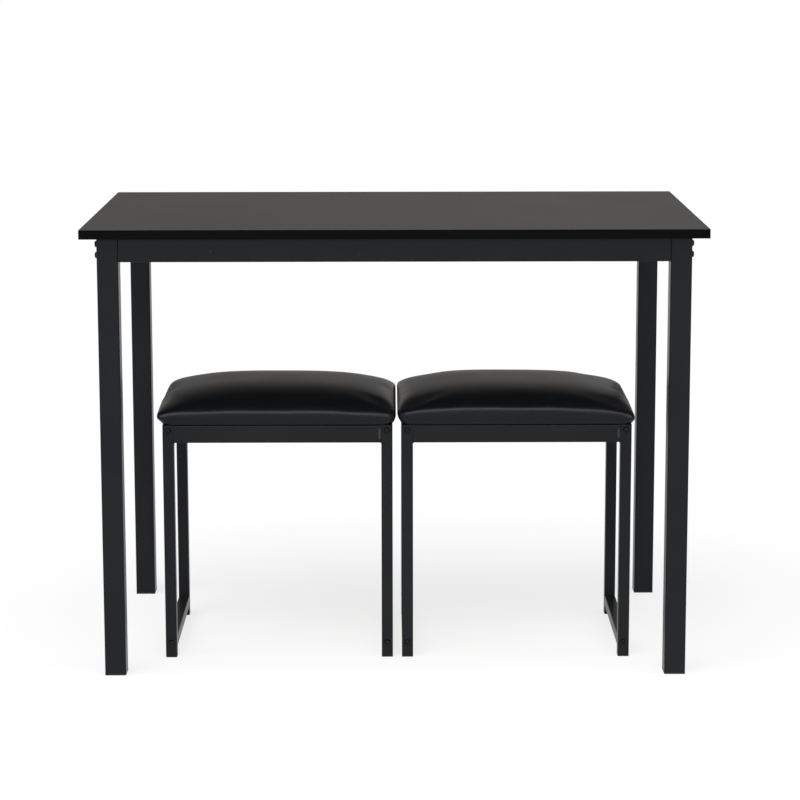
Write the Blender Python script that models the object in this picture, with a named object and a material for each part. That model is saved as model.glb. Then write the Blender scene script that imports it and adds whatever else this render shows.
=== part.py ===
"""A narrow dining table and the two padded stools that stand under it.

Metres, +Z up. The origin is on the floor under the middle of the table. +X runs along the table, and
-Y is the side that the stools are pulled out to.
"""

from collections import namedtuple
import math

import bmesh
import bpy
from mathutils import Matrix, Vector

# Shared by all joints: the space left between two faces that touch, and how far a cutter overruns.
TOUCH_GAP = 0.0003
CUT_OVERRUN = 0.002

# Table top
TABLE_HEIGHT = 0.750
TOP_LENGTH = 1.020
TOP_DEPTH = 0.600
TOP_THICKNESS = 0.015
TOP_EDGE_ROUND = 0.0008

# Table legs and rails
TABLE_LEG_SIDE = 0.035
TABLE_TUBE_WALL = 0.0012
TABLE_TUBE_ROUND = 0.002
LEG_INSET_ENDS = 0.026
LEG_INSET_FRONT = 0.0235
TABLE_RAIL_HEIGHT = 0.040
TABLE_RAIL_DEPTH = 0.020
TABLE_RAIL_SETBACK = 0.0008
TOP_SCREW_HOLE = 0.005
TOP_SCREW_ACCESS = 0.010
TOP_SCREW_FROM_END = 0.090
TOP_SCREWS_PER_RAIL = 3

# Table foot caps
TABLE_CAP_FLANGE = 0.003
TABLE_CAP_PLUG = 0.018
CAP_EDGE_ROUND = 0.0006

# Stool frames. A rail's front and back recess lie inside the front and back faces of its legs.
STOOL_WIDTH = 0.388
STOOL_DEPTH = 0.285
STOOL_FRAME_HEIGHT = 0.404
STOOL_TUBE_SIDE = 0.019
STOOL_TUBE_WALL = 0.001
STOOL_TUBE_ROUND = 0.0015
STOOL_RAIL_HEIGHT = 0.030
STOOL_RAIL_FRONT_RECESS = 0.0004
STOOL_RAIL_BACK_RECESS = 0.0036
STOOL_VENT_HOLE = 0.004
SEAT_SCREW_HOLE = 0.005
SEAT_SCREW_FROM_END = 0.043
SEAT_SCREWS_PER_RAIL = 2
STOOL_CAP_FLANGE = 0.002
STOOL_CAP_PLUG = 0.012
LOWER_RAIL_OVER_PLUG = 0.002

# Where the stools stand: the pair's middle along the table, and the space between their cushions
STOOL_PAIR_X = 0.004
STOOL_GAP = 0.0045
STOOL_FRONT_Y = -0.172

# Seats. The hem is the cushion's lowest outline, and the band is its side below its widest line.
SEAT_BOARD_THICKNESS = 0.012
CUSHION_OVERHANG = 0.0055
CUSHION_BAND = 0.020
CUSHION_CROWN = 0.036
CUSHION_CORNER = 0.016
CUSHION_HEM_ROUND = 0.0012
CUSHION_HEM_WALL = 0.0028

# Bolts, the space between the heads of a pair, and the plates in the rails' ends that take them
BOLT_DIAMETER = 0.006
BOLT_CLEARANCE = 0.0003
BOLT_HEAD_RIM = 0.00225
BOLT_HEAD_HEIGHT = 0.0033
BOLT_SOCKET = 0.004
BOLT_SOCKET_RIM = 0.0006
BOLT_SOCKET_DEPTH = 0.0018
BOLT_REACH = 0.008
BOLT_PAIR_GAP = 0.0075
BOLT_PLATE = 0.003

# Fineness of round shapes
HOLE_SIDES = 12
BOLT_SIDES = 12
BOLT_DOME_STEPS = 2
TUBE_CORNER_STEPS = 2
CUSHION_CORNER_STEPS = 4
CUSHION_SIDE_STEPS = 8
CUSHION_BAND_STEPS = 3

# The crown's shape: powers of its height's formula, and its rings' sizes as shares of the widest line
CROWN_PLAN_POWER = 2.7
CROWN_EDGE_POWER = 0.57
CROWN_RING_SHARES = (0.985, 0.95, 0.89, 0.80, 0.68, 0.52, 0.34, 0.17)

Tube = namedtuple("Tube", "height depth wall round")
TABLE_LEG = Tube(TABLE_LEG_SIDE, TABLE_LEG_SIDE, TABLE_TUBE_WALL, TABLE_TUBE_ROUND)
TABLE_RAIL = Tube(TABLE_RAIL_HEIGHT, TABLE_RAIL_DEPTH, TABLE_TUBE_WALL, TABLE_TUBE_ROUND)
STOOL_TUBE = Tube(STOOL_TUBE_SIDE, STOOL_TUBE_SIDE, STOOL_TUBE_WALL, STOOL_TUBE_ROUND)
STOOL_RAIL = Tube(
    STOOL_RAIL_HEIGHT,
    STOOL_TUBE_SIDE - STOOL_RAIL_FRONT_RECESS - STOOL_RAIL_BACK_RECESS,
    STOOL_TUBE_WALL,
    STOOL_TUBE_ROUND,
)

# Places that follow from the sizes
TABLE_SPAN_X = TOP_LENGTH - 2 * LEG_INSET_ENDS
TABLE_SPAN_Y = TOP_DEPTH - 2 * LEG_INSET_FRONT
TABLE_RAIL_TOP = TABLE_HEIGHT - TOP_THICKNESS - TOUCH_GAP
TABLE_RAIL_MID = TABLE_RAIL_TOP - TABLE_RAIL_HEIGHT / 2
LONG_RAIL_Y = TABLE_SPAN_Y / 2 - TABLE_RAIL_SETBACK - TABLE_RAIL_DEPTH / 2
TABLE_BOLT_RISE = (BOLT_DIAMETER + 2 * BOLT_HEAD_RIM + BOLT_PAIR_GAP) / 2
SIDE_RAIL_X = (STOOL_WIDTH - STOOL_TUBE_SIDE) / 2
SIDE_RAIL_LOW = STOOL_CAP_FLANGE + STOOL_CAP_PLUG + LOWER_RAIL_OVER_PLUG + STOOL_TUBE_SIDE / 2
SIDE_RAIL_HIGH = STOOL_FRAME_HEIGHT - STOOL_TUBE_SIDE / 2
SEAT_BOTTOM = STOOL_FRAME_HEIGHT + TOUCH_GAP
CUSHION_WIDTH = STOOL_WIDTH + 2 * CUSHION_OVERHANG
CUSHION_DEPTH = STOOL_DEPTH + 2 * CUSHION_OVERHANG
BOARD_INSET = CUSHION_OVERHANG + CUSHION_HEM_ROUND + CUSHION_HEM_WALL

# Colour, roughness and metallic value of each finish
FINISHES = {
    "melamine": ((0.026, 0.026, 0.027), 0.45, 0.0),
    "coated_steel": ((0.017, 0.018, 0.020), 0.5, 0.0),
    "black_bolt": ((0.02, 0.02, 0.021), 0.4, 0.6),
    "foot_plastic": ((0.012, 0.012, 0.012), 0.6, 0.0),
    "plywood": ((0.42, 0.29, 0.17), 0.7, 0.0),
    "faux_leather": ((0.012, 0.012, 0.013), 0.42, 0.0),
}

SIDES = (("left", -1), ("right", 1))
FACES = (("front", -1), ("rear", 1))

TO_X = Matrix.Rotation(math.pi / 2, 4, "Y")
TO_BACK = Matrix.Rotation(-math.pi / 2, 4, "X")
TO_FRONT = Matrix.Rotation(math.pi / 2, 4, "X")


def clear_scene():
    for obj in list(bpy.data.objects):
        bpy.data.objects.remove(obj, do_unlink=True)


def material(name):
    """The named finish, made the first time that it is asked for."""
    found = bpy.data.materials.get(name)
    if found:
        return found
    colour, roughness, metallic = FINISHES[name]
    made = bpy.data.materials.new(name)
    made.use_nodes = True
    shader = made.node_tree.nodes["Principled BSDF"]
    shader.inputs["Base Color"].default_value = (*colour, 1)
    shader.inputs["Roughness"].default_value = roughness
    shader.inputs["Metallic"].default_value = metallic
    made.diffuse_color = (*colour, 1)
    return made


def rounded_rectangle(width, depth, radius, corner_steps, side_steps=1):
    """Points round a rectangle about the origin, anticlockwise, with round corners and its sides cut in steps."""
    points = []
    for turn in range(4):
        along, across = (width, depth) if turn % 2 == 0 else (depth, width)
        centre = Vector((along / 2 - radius, across / 2 - radius))
        quarter = []
        for step in range(corner_steps + 1):
            angle = step / corner_steps * math.pi / 2
            quarter.append(centre + radius * Vector((math.cos(angle), math.sin(angle))))
        side_start, side_end = quarter[-1], Vector((-centre.x, across / 2))
        for step in range(1, side_steps):
            quarter.append(side_start.lerp(side_end, step / side_steps))
        rotation = Matrix.Rotation(turn * math.pi / 2, 2)
        points += [rotation @ point for point in quarter]
    return points


def circle(radius, sides):
    turns = [(i + 0.5) / sides * 2 * math.pi for i in range(sides)]
    return [Vector((radius * math.cos(turn), radius * math.sin(turn))) for turn in turns]


def at_height(outline, height):
    return [Vector((point.x, point.y, height)) for point in outline]


def loft(rings):
    """A closed bmesh through rings of as many points each, with a flat cap at either end."""
    mesh = bmesh.new()
    rings = [[mesh.verts.new(point) for point in ring] for ring in rings]
    for lower, upper in zip(rings, rings[1:]):
        for i in range(len(lower)):
            mesh.faces.new((lower[i - 1], lower[i], upper[i], upper[i - 1]))
    mesh.faces.new(list(reversed(rings[0])))
    mesh.faces.new(rings[-1])
    return mesh


def prism(width, depth, low, high, radius):
    """An upright block about the Z axis, from low to high, with round corners where there is a radius."""
    if radius > 0:
        outline = rounded_rectangle(width, depth, radius, TUBE_CORNER_STEPS)
    else:
        corners = ((1, 1), (-1, 1), (-1, -1), (1, -1))
        outline = [Vector((x * width / 2, y * depth / 2)) for x, y in corners]
    return loft([at_height(outline, low), at_height(outline, high)])


def tube_outside(tube, low, high):
    return prism(tube.height, tube.depth, low, high, tube.round)


def tube_bore(tube, low, high):
    taken = 2 * tube.wall
    return prism(tube.height - taken, tube.depth - taken, low, high, max(tube.round - tube.wall, 0))


def cylinder(diameter, low, high, sides=HOLE_SIDES):
    outline = circle(diameter / 2, sides)
    return loft([at_height(outline, low), at_height(outline, high)])


def moved(mesh, place=(0, 0, 0), rotation=None):
    """The same bmesh, turned and then moved."""
    if rotation is not None:
        bmesh.ops.transform(mesh, matrix=rotation, verts=mesh.verts)
    bmesh.ops.translate(mesh, vec=place, verts=mesh.verts)
    return mesh


def together(meshes):
    """One bmesh that holds several separate closed shells."""
    whole = bmesh.new()
    for mesh in meshes:
        shell = bpy.data.meshes.new("shell")
        mesh.to_mesh(shell)
        mesh.free()
        whole.from_mesh(shell)
        bpy.data.meshes.remove(shell)
    return whole


def new_object(name, mesh):
    """An object with the data of this bmesh, in the scene's collection."""
    data = bpy.data.meshes.new(name)
    mesh.to_mesh(data)
    mesh.free()
    obj = bpy.data.objects.new(name, data)
    bpy.context.scene.collection.objects.link(obj)
    return obj


def combine(target, mesh, operation):
    """Adds this bmesh to the object's solid, or cuts it out, with the exact Boolean."""
    tool = new_object("tool", mesh)
    modifier = target.modifiers.new("combine", "BOOLEAN")
    modifier.operation = operation
    modifier.solver = "EXACT"
    modifier.object = tool
    graph = bpy.context.evaluated_depsgraph_get()
    result = bpy.data.meshes.new_from_object(target.evaluated_get(graph))
    target.modifiers.remove(modifier)
    before, tool_data = target.data, tool.data
    target.data = result
    bpy.data.objects.remove(tool)
    bpy.data.meshes.remove(before)
    bpy.data.meshes.remove(tool_data)


def finished(obj, finish, sharp_degrees):
    """Gives the object its finish, and shades it smooth between edges sharper than this."""
    obj.data.materials.clear()
    obj.data.materials.append(material(finish))
    obj.data.shade_smooth()
    obj.data.set_sharp_from_angle(angle=math.radians(sharp_degrees))
    return obj


def wall_drills(rail, under_hole, top_hole, place):
    """Upright cutters through a rail's bottom wall and its top wall, of these diameters if not zero."""
    drills = []
    inside = rail.height / 2 - rail.wall - CUT_OVERRUN
    outside = rail.height / 2 + CUT_OVERRUN
    if under_hole:
        drills.append(moved(cylinder(under_hole, -outside, -inside), place))
    if top_hole:
        drills.append(moved(cylinder(top_hole, inside, outside), place))
    return drills


def portal_frame(name, span, low, high, leg, rail, recess, bolt_inset, bolt_heights, under_hole, top_hole):
    """Two tube legs and the rail welded between them, along X, with its outer face towards -Y.

    recess is how far the rail lies behind the legs' outer faces and under their ends. bolt_inset is how far
    each bolt's axis lies inside the frame's end. The rail's underside and top have a hole each, if not zero.
    """
    leg_x = (span - leg.height) / 2
    between = span / 2 - leg.height
    overlap = leg.wall / 2
    rail_place = (0, (rail.depth - leg.depth) / 2 + recess, high - recess - rail.height / 2)

    frame = new_object(name, moved(tube_outside(leg, low, high), (-leg_x, 0, 0)))
    combine(frame, moved(tube_outside(leg, low, high), (leg_x, 0, 0)), "UNION")
    bar = tube_outside(rail, -between - overlap, between + overlap)
    combine(frame, moved(bar, rail_place, TO_X), "UNION")

    bores = [moved(tube_bore(rail, -between, between), rail_place, TO_X)]
    for x in (-leg_x, leg_x):
        bores.append(moved(tube_bore(leg, low - CUT_OVERRUN, high + CUT_OVERRUN), (x, 0, 0)))
    combine(frame, together(bores), "DIFFERENCE")

    drills = wall_drills(rail, under_hole, top_hole, rail_place)
    reach = leg.depth / 2 + CUT_OVERRUN
    for x in (-span / 2 + bolt_inset, span / 2 - bolt_inset):
        for z in bolt_heights:
            drill = cylinder(BOLT_DIAMETER + 2 * BOLT_CLEARANCE, -reach, reach)
            drills.append(moved(drill, (x, 0, z), TO_BACK))
    combine(frame, together(drills), "DIFFERENCE")
    return finished(frame, "coated_steel", 50)


def bolted_rail(name, length, rail, bolt_heights, screw_count, screw_from_end, under_hole, top_hole):
    """A tube along X with a bolt plate closing each end. bolt_heights are measured from its middle."""
    half = length / 2
    hollow = half - BOLT_PLATE
    bar = new_object(name, moved(tube_outside(rail, -half, half), rotation=TO_X))
    combine(bar, moved(tube_bore(rail, -hollow, hollow), rotation=TO_X), "DIFFERENCE")
    drills = []
    inside, outside = hollow - CUT_OVERRUN, half + CUT_OVERRUN
    for low, high in ((-outside, -inside), (inside, outside)):
        for z in bolt_heights:
            drill = cylinder(BOLT_DIAMETER + 2 * BOLT_CLEARANCE, low, high)
            drills.append(moved(drill, (0, 0, z), TO_X))
    for i in range(screw_count):
        x = (2 * i / (screw_count - 1) - 1) * (half - screw_from_end)
        drills += wall_drills(rail, under_hole, top_hole, (x, 0, 0))
    combine(bar, together(drills), "DIFFERENCE")
    return finished(bar, "coated_steel", 50)


def foot_cap(name, leg, flange, plug):
    """A flange as wide as its leg, which stands on the floor, and the plug that fills the leg's end."""
    inside = leg.height - 2 * leg.wall - 2 * TOUCH_GAP
    sizes = (
        (leg.height - 2 * CAP_EDGE_ROUND, 0),
        (leg.height, CAP_EDGE_ROUND),
        (leg.height, flange),
        (inside, flange),
        (inside, flange + plug - CAP_EDGE_ROUND),
        (inside - 2 * CAP_EDGE_ROUND, flange + plug),
    )
    rings = []
    for side, height in sizes:
        rings.append(at_height(rounded_rectangle(side, side, leg.round, TUBE_CORNER_STEPS), height))
    return finished(new_object(name, loft(rings)), "foot_plastic", 30)


def bolt(name, grip):
    """A button-head bolt along Y. Its head sits on the face at the origin, towards -Y, and it clamps grip."""
    shank = BOLT_DIAMETER / 2
    socket_corner = BOLT_SOCKET / 2 / math.cos(math.pi / 6)
    flat = socket_corner + BOLT_SOCKET_RIM
    rings = [at_height(circle(shank, BOLT_SIDES), height) for height in (-grip - BOLT_REACH, TOUCH_GAP)]
    for step in range(BOLT_DOME_STEPS + 1):
        angle = step / BOLT_DOME_STEPS * math.pi / 2
        radius = flat + (shank + BOLT_HEAD_RIM - flat) * math.cos(angle)
        height = TOUCH_GAP + BOLT_HEAD_HEIGHT * math.sin(angle)
        rings.append(at_height(circle(radius, BOLT_SIDES), height))
    body = new_object(name, moved(loft(rings), rotation=TO_FRONT))
    top = TOUCH_GAP + BOLT_HEAD_HEIGHT
    socket = cylinder(2 * socket_corner, top - BOLT_SOCKET_DEPTH, top + CUT_OVERRUN, sides=6)
    combine(body, moved(socket, rotation=TO_FRONT), "DIFFERENCE")
    return finished(body, "black_bolt", 40)


def table_top():
    mesh = prism(TOP_LENGTH, TOP_DEPTH, TABLE_HEIGHT - TOP_THICKNESS, TABLE_HEIGHT, 0)
    bmesh.ops.bevel(mesh, geom=mesh.edges[:], offset=TOP_EDGE_ROUND, segments=1, affect="EDGES")
    return finished(new_object("table_top", mesh), "melamine", 50)


def seat_board_block(clearance, low, high):
    """The seat board's outline, wider all round by the clearance, from low to high."""
    grown = 2 * (clearance - BOARD_INSET)
    corner = CUSHION_CORNER - CUSHION_HEM_WALL
    return prism(CUSHION_WIDTH + grown, CUSHION_DEPTH + grown, low, high, corner)


def seat_board(name):
    block = seat_board_block(0, SEAT_BOTTOM, SEAT_BOTTOM + SEAT_BOARD_THICKNESS)
    return finished(new_object(name, block), "plywood", 50)


def cushion_outline(inset):
    size = (CUSHION_WIDTH - 2 * inset, CUSHION_DEPTH - 2 * inset)
    return rounded_rectangle(*size, CUSHION_CORNER, CUSHION_CORNER_STEPS, CUSHION_SIDE_STEPS)


def crown_rise(point):
    """The cushion's height over its widest line, which falls to zero along that line's sides."""
    across = max(1 - abs(2 * point.x / CUSHION_WIDTH) ** CROWN_PLAN_POWER, 0)
    along = max(1 - abs(2 * point.y / CUSHION_DEPTH) ** CROWN_PLAN_POWER, 0)
    return CUSHION_CROWN * (across * along) ** CROWN_EDGE_POWER


def cushion(name):
    """Foam under a cover: a crown over its widest line, and a band below it that is drawn in to the frame."""
    rings = [at_height(cushion_outline(CUSHION_OVERHANG + CUSHION_HEM_ROUND), SEAT_BOTTOM)]
    for step in range(CUSHION_BAND_STEPS + 1):
        angle = step / CUSHION_BAND_STEPS * math.pi / 2
        rise = CUSHION_HEM_ROUND + (CUSHION_BAND - CUSHION_HEM_ROUND) * math.sin(angle)
        rings.append(at_height(cushion_outline(CUSHION_OVERHANG * (1 - math.sin(angle))), SEAT_BOTTOM + rise))
    widest = SEAT_BOTTOM + CUSHION_BAND
    for share in CROWN_RING_SHARES:
        drawn_in = [share * point for point in cushion_outline(0)]
        rings.append([Vector((p.x, p.y, widest + crown_rise(p))) for p in drawn_in])
    mesh = loft(rings)
    mesh.faces.ensure_lookup_table()
    middle = bmesh.ops.poke(mesh, faces=[mesh.faces[-1]])["verts"][0]
    middle.co.z = widest + CUSHION_CROWN
    body = new_object(name, mesh)
    pocket_top = SEAT_BOTTOM + SEAT_BOARD_THICKNESS + TOUCH_GAP
    combine(body, seat_board_block(TOUCH_GAP, SEAT_BOTTOM - CUT_OVERRUN, pocket_top), "DIFFERENCE")
    return finished(body, "faux_leather", 50)


def group(name, place):
    """An empty that a piece of furniture's sub-parts hang from."""
    empty = bpy.data.objects.new(name, None)
    empty.location = place
    bpy.context.scene.collection.objects.link(empty)
    return empty


def put(obj, parent, place=(0, 0, 0), turn=0):
    obj.parent = parent
    obj.location = place
    obj.rotation_euler = (0, 0, math.radians(turn))


def maker(make, *sizes):
    """A function that makes the first piece under its name, and gives each later one the same mesh."""
    made = []

    def named(name):
        if made:
            made.append(bpy.data.objects.new(name, made[0].data))
            bpy.context.scene.collection.objects.link(made[-1])
        else:
            made.append(make(name, *sizes))
        return made[-1]

    return named


def build_table():
    table = group("table", (0, 0, 0))
    put(table_top(), table)

    end_frame = maker(
        portal_frame,
        TABLE_SPAN_Y,
        TABLE_CAP_FLANGE + TOUCH_GAP,
        TABLE_RAIL_TOP,
        TABLE_LEG,
        TABLE_RAIL,
        TABLE_RAIL_SETBACK,
        TABLE_RAIL_SETBACK + TABLE_RAIL_DEPTH / 2,
        (TABLE_RAIL_MID - TABLE_BOLT_RISE, TABLE_RAIL_MID + TABLE_BOLT_RISE),
        TOP_SCREW_ACCESS,
        TOP_SCREW_HOLE,
    )
    long_rail = maker(
        bolted_rail,
        TABLE_SPAN_X - 2 * TABLE_LEG_SIDE - 2 * TOUCH_GAP,
        TABLE_RAIL,
        (-TABLE_BOLT_RISE, TABLE_BOLT_RISE),
        TOP_SCREWS_PER_RAIL,
        TOP_SCREW_FROM_END,
        TOP_SCREW_ACCESS,
        TOP_SCREW_HOLE,
    )
    cap = maker(foot_cap, TABLE_LEG, TABLE_CAP_FLANGE, TABLE_CAP_PLUG)
    end_bolt = maker(bolt, TABLE_LEG_SIDE + BOLT_PLATE)

    leg_x = (TABLE_SPAN_X - TABLE_LEG_SIDE) / 2
    leg_y = (TABLE_SPAN_Y - TABLE_LEG_SIDE) / 2
    for side, x in SIDES:
        put(end_frame(f"table_{side}_end_frame"), table, (x * leg_x, 0, 0), x * 90)
        for face, y in FACES:
            put(cap(f"table_foot_cap_{face}_{side}"), table, (x * leg_x, y * leg_y, 0))
            for level, z in (("lower", -1), ("upper", 1)):
                place = (x * TABLE_SPAN_X / 2, y * LONG_RAIL_Y, TABLE_RAIL_MID + z * TABLE_BOLT_RISE)
                put(end_bolt(f"table_bolt_{face}_{side}_{level}"), table, place, x * 90)
    for face, y in FACES:
        put(long_rail(f"table_{face}_rail"), table, (0, y * LONG_RAIL_Y, TABLE_RAIL_MID))


def stool_makers():
    """What makes each piece of a stool, so that both stools share their meshes."""
    side_rail = (STOOL_DEPTH - 2 * STOOL_TUBE_SIDE - 2 * TOUCH_GAP, STOOL_TUBE, (0,))
    seat_screws = (SEAT_SCREWS_PER_RAIL, SEAT_SCREW_FROM_END, SEAT_SCREW_HOLE, SEAT_SCREW_HOLE)
    return {
        "frame": maker(
            portal_frame,
            STOOL_WIDTH,
            STOOL_CAP_FLANGE + TOUCH_GAP,
            STOOL_FRAME_HEIGHT,
            STOOL_TUBE,
            STOOL_RAIL,
            STOOL_RAIL_FRONT_RECESS,
            STOOL_TUBE_SIDE / 2,
            (SIDE_RAIL_LOW, SIDE_RAIL_HIGH),
            STOOL_VENT_HOLE,
            0,
        ),
        "upper_rail": maker(bolted_rail, *side_rail, *seat_screws),
        "lower_rail": maker(bolted_rail, *side_rail, 0, 0, 0, 0),
        "cap": maker(foot_cap, STOOL_TUBE, STOOL_CAP_FLANGE, STOOL_CAP_PLUG),
        "bolt": maker(bolt, STOOL_TUBE_SIDE + BOLT_PLATE),
        "board": maker(seat_board),
        "cushion": maker(cushion),
    }


def build_stool(name, x, make):
    """One stool, whose middle stands at x. Its empty is on the floor under its middle."""
    stool = group(name, (x, STOOL_FRONT_Y + STOOL_DEPTH / 2, 0))
    levels = (("lower", SIDE_RAIL_LOW), ("upper", SIDE_RAIL_HIGH))
    leg_y = (STOOL_DEPTH - STOOL_TUBE_SIDE) / 2
    for face, y in FACES:
        turn = 0 if face == "front" else 180
        put(make["frame"](f"{name}_{face}_frame"), stool, (0, y * leg_y, 0), turn)
        for side, sign in SIDES:
            put(make["cap"](f"{name}_foot_cap_{face}_{side}"), stool, (sign * SIDE_RAIL_X, y * leg_y, 0))
            for level, height in levels:
                place = (sign * SIDE_RAIL_X, y * STOOL_DEPTH / 2, height)
                put(make["bolt"](f"{name}_bolt_{face}_{side}_{level}"), stool, place, turn)
    for side, sign in SIDES:
        for level, height in levels:
            rail = make[f"{level}_rail"](f"{name}_{side}_{level}_rail")
            put(rail, stool, (sign * SIDE_RAIL_X, 0, height), 90)
    put(make["board"](f"{name}_seat_board"), stool)
    put(make["cushion"](f"{name}_cushion"), stool)


def main():
    clear_scene()
    build_table()
    make = stool_makers()
    for side, sign in SIDES:
        build_stool(f"{side}_stool", STOOL_PAIR_X + sign * (CUSHION_WIDTH + STOOL_GAP) / 2, make)


main()
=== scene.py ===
"""A black dining table on square steel tube, with the two padded stools that stand under it.

Metres, +Z up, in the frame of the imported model. The board, tubes, caps and bolts are drawn again with fine
edges. Welds, screws and staples are added, and each seat gets a cover of soft faux leather.
"""

from collections import namedtuple
import math

import bmesh
import bpy
from mathutils import Matrix, Vector
import numpy as np


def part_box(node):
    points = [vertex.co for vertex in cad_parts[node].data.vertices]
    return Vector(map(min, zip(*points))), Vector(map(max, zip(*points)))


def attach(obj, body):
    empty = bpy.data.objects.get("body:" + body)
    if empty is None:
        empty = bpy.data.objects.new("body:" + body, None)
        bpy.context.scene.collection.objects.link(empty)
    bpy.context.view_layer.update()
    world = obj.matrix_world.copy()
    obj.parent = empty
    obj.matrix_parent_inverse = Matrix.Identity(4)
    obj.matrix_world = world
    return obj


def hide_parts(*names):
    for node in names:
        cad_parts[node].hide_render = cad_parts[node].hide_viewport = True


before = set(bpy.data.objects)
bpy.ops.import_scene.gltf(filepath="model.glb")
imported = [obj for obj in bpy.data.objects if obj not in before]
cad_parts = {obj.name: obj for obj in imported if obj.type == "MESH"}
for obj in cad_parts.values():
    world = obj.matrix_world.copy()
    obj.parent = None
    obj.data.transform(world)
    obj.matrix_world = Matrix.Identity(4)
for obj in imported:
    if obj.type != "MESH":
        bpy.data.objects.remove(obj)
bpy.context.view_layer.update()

# Shared by all joints: the space left between two faces that touch, and how far a cutter overruns
TOUCH_GAP = 0.0003
CUT_OVERRUN = 0.002

# Table top: a faced board with a plastic band glued round its edge
BAND_THICKNESS = 0.0012
BAND_CORNER = 0.0016
BAND_ARRIS = 0.0005
BAND_SEAM = 0.00008
BAND_PROUD = 0.00005
BOARD_ARRIS = 0.00015

# What the tubes of the table, or of a stool, have in common: wall and corner radius, how far the rails lie
# behind the legs' faces, the width of the weld beads, and the foot caps' flange
Stock = namedtuple("Stock", "wall corner recess bead flange")
TABLE_STOCK = Stock(wall=0.0012, corner=0.0022, recess=0.0008, bead=0.0042, flange=0.003)
STOOL_STOCK = Stock(wall=0.001, corner=0.0016, recess=0.0004, bead=0.0034, flange=0.002)
STOOL_RAIL_HEIGHT = 0.030
STOOL_RAIL_DEPTH = 0.015
WELD_OVERLAP = 0.0003
END_PLATE = 0.003
END_PLATE_INSET = 0.0002

# Holes in a rail: how many, how far the outer ones are from its ends, and their diameters below and on top
Holes = namedtuple("Holes", "count from_end under top")
TOP_SCREW_HOLES = Holes(count=3, from_end=0.090, under=0.010, top=0.005)
SEAT_SCREW_HOLES = Holes(count=2, from_end=0.043, under=0.005, top=0.005)
VENT_HOLE = Holes(count=1, from_end=0, under=0.004, top=0)
NO_HOLES = Holes(count=0, from_end=0, under=0, top=0)

# Weld beads, and the weld at the front of each stool that is ground flat and coated pale as a painted
# highlight
RIPPLE_PITCH_SHARE = 0.36
RIPPLE_FLATNESS = 0.5
RIPPLE_UNEVENNESS = 0.12
BEAD_FROM_FACE = 0.003
GROUND_WELD_WIDTH = 0.0056
GROUND_WELD_HEIGHT = 0.0185
GROUND_WELD_PROUD = 0.0006

# Button-head bolts
BOLT_SHANK = 0.006
BOLT_HEAD = 0.0105
BOLT_HEAD_HEIGHT = 0.0033
BOLT_RIM = 0.0005
BOLT_SOCKET = 0.004
BOLT_SOCKET_CHAMFER = 0.00035
BOLT_SOCKET_DEPTH = 0.0019

# Pan-head screws with a cross recess, whose slimness is its waist as a share of its width, at top and bottom
SCREW_SHANK = 0.004
SCREW_HEAD = 0.0086
SCREW_HEAD_HEIGHT = 0.0026
SCREW_HEAD_POWER = 0.7
SCREW_RECESS = 0.0044
SCREW_RECESS_DEPTH = 0.0015
SCREW_RECESS_SLIMNESS = (0.35, 0.5)
TOP_SCREW_REACH = 0.011
SEAT_SCREW_REACH = 0.027

# Foot caps. Ribs on the plug grip the tube. The rib shares say where, in its pitch, a rib reaches its full
# width, leaves it and is back at the core, and how far above the flange the first rib starts.
CAP_EDGE_ROUND = 0.0007
CAP_RIB_DEPTH = 0.0009
CAP_RIBS = 3
CAP_RIB_SHARES = (0.25, 0.5, 0.8)
CAP_FIRST_RIB_SHARE = 0.25

# The cover's edge, turned in under the seat board and stapled there
FLAP_THICKNESS = 0.0007
FLAP_WIDTH = 0.021
FLAP_CLEARANCE = 0.0005
FLAP_CORNER = 0.0005
FLAP_DROP = 0.0001
FLAP_WAVE = 0.0022
FLAP_WAVE_LENGTHS = (0.31, 0.083, 0.041)
FLAP_PUCKER = 0.0006
FLAP_PUCKER_LENGTH = 0.057
FLAP_STEP = 0.003
STAPLE_CROWN = 0.010
STAPLE_WIRE = 0.0005
STAPLE_LEG = 0.004
STAPLE_PITCH = 0.021
STAPLE_INSET = 0.009
STAPLE_MOST_TURN = 0.16

# Cushions: the widest line is arched along the sides and droops to a tip at each corner. The two are not
# stuffed alike: corner is the height of the widest line at the corners, arch how much higher it is in the
# middle of the front, lean how much the right end stands over the middle, and crown the rise of the top.
# Above its hem a cover also lies a little to one side by shift, and is fuller at both ends by fullness.
Stuffing = namedtuple("Stuffing", "corner arch lean crown shift fullness")
STUFFING = {
    "left_stool": Stuffing(
        corner=0.0125, arch=0.0047, lean=-0.0006, crown=0.0203, shift=-0.0009, fullness=0.0015,
    ),
    "right_stool": Stuffing(
        corner=0.0126, arch=0.0104, lean=-0.0014, crown=0.0137, shift=-0.0022, fullness=0.0,
    ),
}
CUSHION_CORNER = 0.014
SEAT_BOARD_ARRIS = 0.0005
RIDGE_PASSES = 2
RIDGE_CELLS = 3
RIDGE_ALLOWANCE = 0.0006
ROLL_RISE = 0.006
ROLL_REACH = 0.00135
ROLL_STEPS = 2
CORNER_DROOP = 0.0035
DROOP_POWER = 14
REAR_DROOP = 0.0048
REAR_DROOP_POWER = 7
HEM_TO_FULL = 0.012
SIDE_ARCH = 0.0058
ARCH_POWER = 3.1
CROWN_PLAN_POWER = 3.0
CROWN_EDGE_POWER = 0.787
HEM_DRAWN_IN = 0.0055
HEM_ROUND = 0.0012
HEM_WALL = 0.0028
HEM_POWER = 2.2
COVER_STEP = 0.004
BAND_STEPS = 7

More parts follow.
